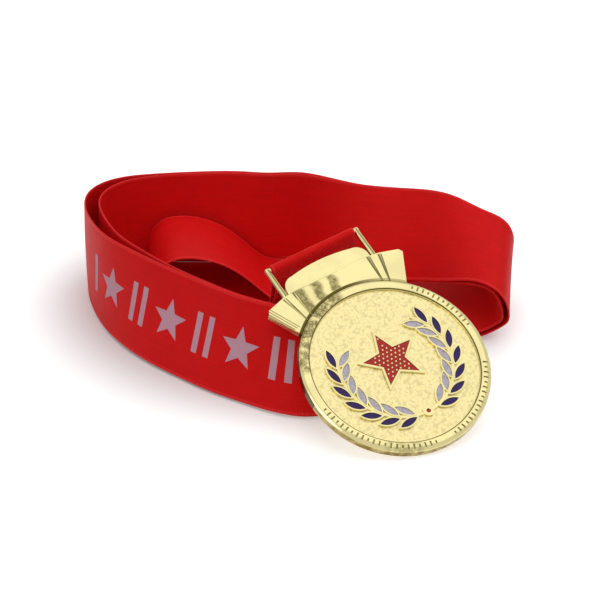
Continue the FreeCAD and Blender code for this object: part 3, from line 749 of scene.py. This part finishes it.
def finish_named(name):
    """The material for a slot, made the first time that it is asked for."""
    found = bpy.data.materials.get("fine_" + name)
    if found:
        return found
    ribbon = bpy.context.scene.medal_ribbon
    metal = bpy.context.scene.medal_metal
    if name == "gold_plate":
        return polished_gold(name, tuple(metal.gold), tuple(metal.shade_and_reflection))
    if name == "gold_field":
        return satin_gold(name, tuple(metal.satin_gold), metal.pebble_rise)
    if name == "gold_relief":
        return polished_gold(name, shade(tuple(metal.gold), 0.97), tuple(metal.shade_and_reflection))
    if name.startswith("enamel_"):
        return enamel(name, tuple(getattr(metal, name.removeprefix("enamel_") + "_enamel")))
    if name == "ribbon_red":
        return woven_satin(name, ribbon)
    if name == "thread_red":
        return twisted_thread(name, shade(tuple(ribbon.dye), 0.85))
    raise ValueError("no finish is named " + name)


# ---------------------------------------------------------------- ribbon

def spline(stations, rows, at):
    """Values and slopes of the natural cubic curve through rows at stations."""
    gaps = np.diff(stations)
    count = len(stations)
    system = np.eye(count)
    right = np.zeros_like(rows)
    for row in range(1, count - 1):
        system[row, row - 1:row + 2] = gaps[row - 1], 2 * (gaps[row - 1] + gaps[row]), gaps[row]
        right[row] = 6 * ((rows[row + 1] - rows[row]) / gaps[row]
                          - (rows[row] - rows[row - 1]) / gaps[row - 1])
    bend = np.linalg.solve(system, right)
    span = np.clip(np.searchsorted(stations, at, side="right") - 1, 0, count - 2)
    gap = gaps[span][:, None]
    far = (at - stations[span])[:, None] / gap
    close = 1 - far
    value = close * rows[span] + far * rows[span + 1]
    value += ((close ** 3 - close) * bend[span] + (far ** 3 - far) * bend[span + 1]) * gap ** 2 / 6
    slope = (rows[span + 1] - rows[span]) / gap
    slope += ((1 - 3 * close ** 2) * bend[span] + (3 * far ** 2 - 1) * bend[span + 1]) * gap / 6
    return value, slope


def unit(vectors):
    """Vectors at length one."""
    return vectors / np.linalg.norm(vectors, axis=1)[:, None]


def strip(lower, upper, gaps, start, end, pitch):
    """Edges, direction out and half gap along a strip between two rows of edge points."""
    middle = (lower + upper) / 2
    stations = np.concatenate([[0.0], np.cumsum(np.linalg.norm(np.diff(middle, axis=0), axis=1))])
    at = np.linspace(0, stations[-1], int(round(stations[-1] / pitch)) + 1)
    low, low_slope = spline(stations, lower, at)
    high, high_slope = spline(stations, upper, at)
    gap, _slope = spline(stations, gaps[:, None], at)
    travel = unit(low_slope) + unit(high_slope)
    travel[0] = start
    travel[-1] = end
    return low, high, unit(np.cross(high - low, travel)), gap


def strap_down():
    """The way the strap leaves the bar."""
    return (Vector((0, 0, -1)) + ALONG_BAR * ALONG_BAR.z).normalized()


def wrap_sections():
    """Edges and direction out round the bar, from the inner ply's end to the outer ply's."""
    down = strap_down()
    back = ALONG_BAR.cross(down)
    places = [(drop, 0.0) for drop in (WRAP_LEG, WRAP_LEG * 0.66, WRAP_LEG * 0.33)]
    places += [(0.0, math.pi * step / 14) for step in range(15)]
    places += [(drop, math.pi) for drop in (WRAP_LEG * 0.33, WRAP_LEG * 0.66, WRAP_LEG)]
    low, high, out = [], [], []
    for drop, angle in places:
        direction = back * math.cos(angle) - down * math.sin(angle)
        middle = BAR_CENTRE + down * drop + direction * WRAP_MID_R
        low.append(middle + ALONG_BAR * (WRAP_W / 2))
        high.append(middle - ALONG_BAR * (WRAP_W / 2))
        out.append(direction)
    return np.array(low), np.array(high), np.array(out)


def ribbon_ring(ribbon):
    """The endless ribbon's edges, direction out and cupping, all the way round."""
    down = strap_down()
    lower, upper, gaps = [], [], []
    for drop in LEAD_DROPS:
        lower.append(BAR_CENTRE + down * drop + ALONG_BAR * (WRAP_W / 2))
        upper.append(BAR_CENTRE + down * drop - ALONG_BAR * (WRAP_W / 2))
        gaps.append(WRAP_MID_R)
    for edge, across, gap in STRAP_ROUTE:
        lower.append(Vector(edge) * MM + TO_ORIGIN)
        upper.append(lower[-1] + Vector(across).normalized() * ribbon.width)
        gaps.append(gap * MM)
    away = np.array((-1.0, 0.0, 0.0))
    low, high, out, gap = strip(np.array(lower), np.array(upper), np.array(gaps), np.array(down),
                                away, ribbon.row_pitch)
    across = Vector(STRAP_ROUTE[-1][1]).normalized() * ribbon.width
    nape_low = [Vector((x, NAPE_Y, z)) * MM + TO_ORIGIN for x, z in NAPE_ROUTE]
    nape_high = [point + across for point in nape_low]
    loop_low, loop_high, loop_out, _gap = strip(np.array(nape_low), np.array(nape_high),
                                                np.zeros(len(nape_low)), away, -away, ribbon.row_pitch)
    wrap_low, wrap_high, wrap_out = wrap_sections()
    share = np.linspace(0, 1, len(low))
    cup = np.sin(np.pi * share) ** 0.5 * CUP_DEPTH * np.sin(2 * np.pi * share * CUP_WAVES + CUP_START)
    lows = np.concatenate([low + out * gap, loop_low, (low - out * gap)[::-1], wrap_low])
    highs = np.concatenate([high + out * gap, loop_high, (high - out * gap)[::-1], wrap_high])
    outs = np.concatenate([out, loop_out, -out[::-1], wrap_out])
    cups = np.concatenate([cup, np.zeros(len(loop_low)), -cup[::-1], np.zeros(len(wrap_low))])
    keep = np.ones(len(lows), bool)
    middle = (lows + highs) / 2
    keep[1:] = np.linalg.norm(np.diff(middle, axis=0), axis=1) > 0.00005
    return lows[keep], highs[keep], outs[keep], cups[keep]


def ribbon_profile(ribbon):
    """Distance from the lower edge and half thickness at each column across the ribbon."""
    half = ribbon.thickness / 2
    band = ribbon.selvedge
    edge = [(0.0, 0.35 * half), (0.00012, 0.85 * half), (0.0004, 1.12 * half), (band * 0.85, 1.12 * half),
            (band, 0.86 * half), (band * 1.3, 0.97 * half)]
    inner = np.linspace(band * 1.3, ribbon.width - band * 1.3, 22)[1:-1]
    return edge + [(at, half) for at in inner] + [(ribbon.width - at, size) for at, size in reversed(edge)]


def ribbon_mesh(ribbon):
    """The whole ribbon as one closed mesh, with its run and its width as its UV map."""
    low, high, out, cup = ribbon_ring(ribbon)
    profile = ribbon_profile(ribbon)
    rows, columns = len(low), len(profile)
    middle = (low + high) / 2
    steps = np.linalg.norm(np.roll(middle, -1, axis=0) - middle, axis=1)
    run = np.concatenate([[0.0], np.cumsum(steps)])
    places = []
    for side in (1, -1):
        for at, half in (profile if side > 0 else profile[::-1]):
            share = at / ribbon.width
            lift = side * half + cup[:, None] * 4 * share * (1 - share)
            places.append(low + (high - low) * share + out * lift)
    points = np.stack(places, axis=1).reshape(-1, 3)
    around = 2 * columns
    across = [at for at, _half in profile] + [UNDERSIDE_V + at for at, _half in reversed(profile)]
    faces, strips = [], []
    for row in range(rows):
        onward = (row + 1) % rows
        for column in range(around):
            beside = (column + 1) % around
            faces.append((row * around + column, row * around + beside,
                          onward * around + beside, onward * around + column))
            first, second = across[column], across[beside]
            if abs(first - second) > UNDERSIDE_V / 2:
                first = second = min(first, second)
            strips += [run[row], first, run[row], second, run[row + 1], second, run[row + 1], first]
    mesh = bpy.data.meshes.new("neck_ribbon")
    mesh.from_pydata(points.tolist(), [], faces)
    layer = mesh.uv_layers.new(name="strip")
    layer.data.foreach_set("uv", strips)
    mesh.update()
    return mesh, float(run[-1])


class MEDAL_OT_ribbon(bpy.types.Operator):
    """Weaves the doubled ribbon: both plies, the nape loop and the turn over the bar"""
    bl_idname = "medal.ribbon"
    bl_label = "Ribbon"

    def execute(self, context):
        ribbon = context.scene.medal_ribbon
        mesh, length = ribbon_mesh(ribbon)
        piece = add_object("neck_ribbon", mesh)
        outward(piece)
        smooth_shade(piece, 50.0)
        settle(piece, "ribbon", "ribbon_red", finish_named("ribbon_red"), "ribbon_outer_ply",
               "ribbon_inner_ply", "ribbon_nape_loop", "ribbon_bar_wrap")
        return {"FINISHED"}


class MEDAL_OT_stitches(bpy.types.Operator):
    """Sews the row of stitches across both legs of the turn, close under the bar"""
    bl_idname = "medal.stitches"
    bl_label = "Stitches"

    def execute(self, context):
        down = strap_down()
        back = ALONG_BAR.cross(down)
        turn = Matrix((back, down, ALONG_BAR)).transposed().to_4x4()
        clear_selection()
        bpy.ops.mesh.primitive_cylinder_add(vertices=8, radius=STITCH_R, depth=STITCH_L)
        model = new_piece("stitch")
        pick(model, "FACE", lambda face: abs(face.normal.z) > 0.9)
        bpy.ops.mesh.inset(thickness=0.00004, depth=0.00006)
        done()
        pick(model, "EDGE", lambda a, b: abs(a.z - b.z) > 0.001)
        bpy.ops.mesh.subdivide(number_cuts=6)
        done()
        pick(model, "VERT", lambda place: abs(place.z) > STITCH_L * 0.38)
        bpy.ops.transform.translate(value=(-0.00010, 0, 0))
        done()
        copies = []
        pitch = WRAP_W / STITCH_COUNT
        for side in (-1, 1):
            for number in range(STITCH_COUNT):
                middle = BAR_CENTRE + ALONG_BAR * ((number + 0.5) * pitch - WRAP_W / 2)
                middle = middle + down * STITCH_DROP + back * (side * STITCH_OUT)
                facing = turn if side > 0 else turn @ Matrix.Rotation(math.pi, 4, "Z")
                copy = add_object("stitch_%02d" % len(copies), model.data.copy())
                lean = Matrix.Rotation(math.radians(4.0 * math.sin(2.3 * number + side)), 4, "X")
                apply_place(copy, Matrix.Translation(middle) @ facing @ lean)
                copies.append(copy)
        bpy.data.objects.remove(model)
        piece = join(copies, "bar_stitches")
        outward(piece)
        smooth_shade(piece, 60.0)
        settle(piece, "ribbon", "thread_red", finish_named("thread_red"), "seam_thread")
        return {"FINISHED"}


# ---------------------------------------------------------------- medal

class MEDAL_OT_disc(bpy.types.Operator):
    """Finishes the struck disc, its rim and the rivets at its back"""
    bl_idname = "medal.disc"
    bl_label = "Disc"

    def execute(self, context):
        finish_node("disc_body", "struck_disc", "gold_plate", DISC_ROUND)
        dress("disc_rivets", finish_named("gold_plate"))
        dress("lug_rivets", finish_named("gold_plate"))
        return {"FINISHED"}


class MEDAL_OT_field(bpy.types.Operator):
    """Stipples the sunk field inside the rim"""
    bl_idname = "medal.field"
    bl_label = "Stippled field"

    def execute(self, context):
        metal = context.scene.medal_metal
        clear_selection()
        bpy.ops.mesh.primitive_grid_add(x_subdivisions=FIELD_CELLS, y_subdivisions=FIELD_CELLS,
                                        size=2.02 * FIELD_R, location=(0, 0, FIELD_W))
        piece = new_piece("stippled_field")
        apply_place(piece)
        pebbles = bpy.data.textures.new("pebbles", "VORONOI")
        pebbles.noise_scale = metal.pebble
        modify(piece, "DISPLACE", texture=pebbles, texture_coords="LOCAL", direction="Z",
               strength=-metal.pebble_rise, mid_level=0.35)
        modify(piece, "SOLIDIFY", thickness=FIELD_T, offset=-1.0)
        clear_selection()
        bpy.ops.mesh.primitive_cylinder_add(vertices=180, radius=FIELD_R, depth=0.006,
                                            location=(0, 0, FIELD_W))
        cutter = new_piece("field_cutter")
        apply_place(cutter)
        modify(piece, "BOOLEAN", operation="INTERSECT", object=cutter, solver="EXACT")
        bpy.data.objects.remove(cutter)
        apply_place(piece, MEDAL)
        smooth_shade(piece, 60.0)
        settle(piece, "medal", "gold_field", finish_named("gold_field"), "centre_insert")
        return {"FINISHED"}


class MEDAL_OT_star(bpy.types.Operator):
    """Finishes the star: gold wall, red enamel and gold beads"""
    bl_idname = "medal.star"
    bl_label = "Star"

    def execute(self, context):
        finish_node("star_frame", "star_wall", "gold_relief", WALL_ROUND)
        finish_node("star_enamel_red", "star_fill", "enamel_red", ENAMEL_ROUND)
        dress("star_beads", finish_named("gold_relief"))
        return {"FINISHED"}


class MEDAL_OT_wreath(bpy.types.Operator):
    """Finishes the wreath: gold walls, two rings of enamelled leaves and the berry"""
    bl_idname = "medal.wreath"
    bl_label = "Wreath"

    def execute(self, context):
        dress("wreath_frame", finish_named("gold_relief"))
        finish_node("leaf_enamel_purple", "outer_leaves", "enamel_purple", ENAMEL_ROUND)
        finish_node("leaf_enamel_white", "inner_leaves", "enamel_white", ENAMEL_ROUND)
        finish_node("berry_enamel_red", "berry", "enamel_red", BERRY_ROUND, 3)
        return {"FINISHED"}


class MEDAL_OT_hanger(bpy.types.Operator):
    """Finishes the bow, the arched lug above it, both posts and the bar"""
    bl_idname = "medal.hanger"
    bl_label = "Hanger"

    def execute(self, context):
        metal = context.scene.medal_metal
        finish_node("bow_banner", "pleated_bow", "gold_plate", metal.edge_round * 0.6, 3, 62.0)
        finish_node("dome_lug", "arched_lug", "gold_plate", metal.edge_round, 3, 60.0)
        for side, node, name in ((-1, "left_post", "post_left"), (1, "right_post", "post_right")):
            clear_selection()
            bpy.ops.mesh.primitive_cylinder_add(vertices=40, radius=POST_R, depth=POST_TIP - POST_FOOT,
                                                location=(side * POST_U, (POST_TIP + POST_FOOT) / 2, BAR_W),
                                                rotation=(-math.pi / 2, 0, 0))
            post = new_piece(name)
            apply_place(post)
            pick(post, "FACE", lambda face: face.normal.y > 0.9)
            bpy.ops.mesh.bevel(offset=POST_R * 0.8, segments=6, affect="EDGES")
            done()
            apply_place(post, MEDAL)
            outward(post)
            smooth_shade(post, 50.0)
            settle(post, "medal", "gold_plate", finish_named("gold_plate"), node)
        finish_node("ribbon_bar", "bar", "gold_plate", BAR_ROUND, 3)
        return {"FINISHED"}


# ---------------------------------------------------------------- stage

class MEDAL_OT_stage(bpy.types.Operator):
    """Sets the table, the soft lamps, the room's light and the camera"""
    bl_idname = "medal.stage"
    bl_label = "Stage"

    def execute(self, context):
        stage = context.scene.medal_stage
        clear_selection()
        bpy.ops.mesh.primitive_plane_add(size=6.0, location=(0, 0, -0.0001))
        table = new_piece("table_top")
        apply_place(table)
        table.data.materials.append(self.table_finish(stage))
        overhead = self.lamp("overhead_softbox", stage.overhead, 1.1, (0.18, 0.05, 0.85), (0, 0, 0))
        # The metal mirrors the weaker glint lamp in its place
        overhead.visible_glossy = False
        self.lamp("glint_softbox", stage.glint, 1.1, (0.18, 0.05, 0.86), (0, 0, 0))
        self.lamp("front_left_softbox", stage.side, 0.6, (-0.62, -0.75, 0.62), (-0.01, 0, 0.02))
        self.room(stage)
        self.camera(stage)
        return {"FINISHED"}

    def table_finish(self, stage):
        """Pale table that keeps the object's shadow and looks white around it."""
        finish = Finish("table_white")
        path = finish.node("ShaderNodeLightPath")
        seen = Number(finish, path.outputs["Is Camera Ray"])
        seen = seen.highest(Number(finish, path.outputs["Is Glossy Ray"]))
        seen = seen.highest(Number(finish, path.outputs["Is Transmission Ray"]))
        paint = finish.node("ShaderNodeBsdfDiffuse", None, {"Color": opaque(tuple(stage.floor))})
        off_middle = finish.reach(finish.place(), SHADE_CENTRE, Vector((0, 0, 1)))
        open_table = off_middle.ramp(*SHADE_REACH)
        # Painted light: a glow seen by the camera and in reflections, which lifts the table's shade to white away
        # from the object's middle
        glow = finish.node("ShaderNodeEmission", None,
                           {"Color": (1, 1, 1, 1), "Strength": seen * (0.05 + 0.50 * open_table)})
        both = finish.node("ShaderNodeAddShader", None, {0: paint.outputs[0], 1: glow.outputs[0]})
        finish.node("ShaderNodeOutputMaterial", None, {"Surface": both.outputs[0]})
        return finish.material

    def lamp(self, name, power, size, place, target):
        """Adds a square soft lamp aimed at a point."""
        clear_selection()
        bpy.ops.object.light_add(type="AREA", location=place)
        lamp = bpy.context.active_object
        lamp.name = name
        lamp.data.energy = power
        lamp.data.shape = "SQUARE"
        lamp.data.size = size
        lamp.rotation_euler = (Vector(target) - Vector(place)).to_track_quat("-Z", "Y").to_euler()
        return lamp

    def room(self, stage):
        """Even light from all round, which the camera and reflections see as white."""
        world = bpy.data.worlds.new("room")
        bpy.context.scene.world = world
        world.use_nodes = True
        tree = world.node_tree
        tree.nodes.clear()
        kinds = ("LightPath", "Math", "Math", "MapRange", "Background", "OutputWorld")
        path, seen, mirrored, strength, glow, output = [tree.nodes.new("ShaderNode" + kind)
                                                        for kind in kinds]
        seen.operation = mirrored.operation = "MAXIMUM"
        strength.inputs["To Min"].default_value = stage.room
        strength.inputs["To Max"].default_value = 1.0
        tree.links.new(path.outputs["Is Camera Ray"], seen.inputs[0])
        tree.links.new(path.outputs["Is Glossy Ray"], seen.inputs[1])
        tree.links.new(seen.outputs[0], mirrored.inputs[0])
        tree.links.new(path.outputs["Is Transmission Ray"], mirrored.inputs[1])
        tree.links.new(mirrored.outputs[0], strength.inputs["Value"])
        tree.links.new(strength.outputs["Result"], glow.inputs["Strength"])
        tree.links.new(glow.outputs[0], output.inputs["Surface"])

    def camera(self, stage):
        """Adds the camera, looking along +Y and down on the medal."""
        clear_selection()
        bpy.ops.object.camera_add(location=CAMERA_PLACE, rotation=(math.pi / 2 - stage.elevation, 0, 0))
        camera = bpy.context.active_object
        camera.name = "view_camera"
        camera.data.sensor_fit = "HORIZONTAL"
        camera.data.angle = stage.view_angle
        camera.data.clip_start = 0.01
        bpy.context.scene.camera = camera
        bpy.context.scene.view_settings.view_transform = "Standard"


# ---------------------------------------------------------------- panel

STEPS = (MEDAL_OT_stage, MEDAL_OT_stitches, MEDAL_OT_ribbon, MEDAL_OT_disc, MEDAL_OT_field, MEDAL_OT_star,
         MEDAL_OT_wreath, MEDAL_OT_hanger)


class MEDAL_PT_steps(bpy.types.Panel):
    """Lists the steps in the order of making"""
    bl_idname = "MEDAL_PT_steps"
    bl_label = "Neck Ribbon Medal"
    bl_space_type = "VIEW_3D"
    bl_region_type = "UI"
    bl_category = "Medal"

    def draw(self, context):
        for step in STEPS:
            self.layout.operator(step.bl_idname)
        for name in SETTINGS:
            box = self.layout.box()
            settings = getattr(context.scene, name)
            for prop in settings.bl_rna.properties:
                if prop.identifier not in ("rna_type", "name"):
                    box.prop(settings, prop.identifier)


def register():
    for settings in SETTINGS.values():
        bpy.utils.register_class(settings)
    for name, settings in SETTINGS.items():
        setattr(bpy.types.Scene, name, PointerProperty(type=settings))
    for step in STEPS:
        bpy.utils.register_class(step)
    bpy.utils.register_class(MEDAL_PT_steps)


def unregister():
    bpy.utils.unregister_class(MEDAL_PT_steps)
    for step in reversed(STEPS):
        bpy.utils.unregister_class(step)
    for name in SETTINGS:
        delattr(bpy.types.Scene, name)
    for settings in SETTINGS.values():
        bpy.utils.unregister_class(settings)


def main():
    register()
    for step in STEPS:
        group, action = step.bl_idname.split(".")
        getattr(getattr(bpy.ops, group), action)()


if __name__ == "__main__":
    main()
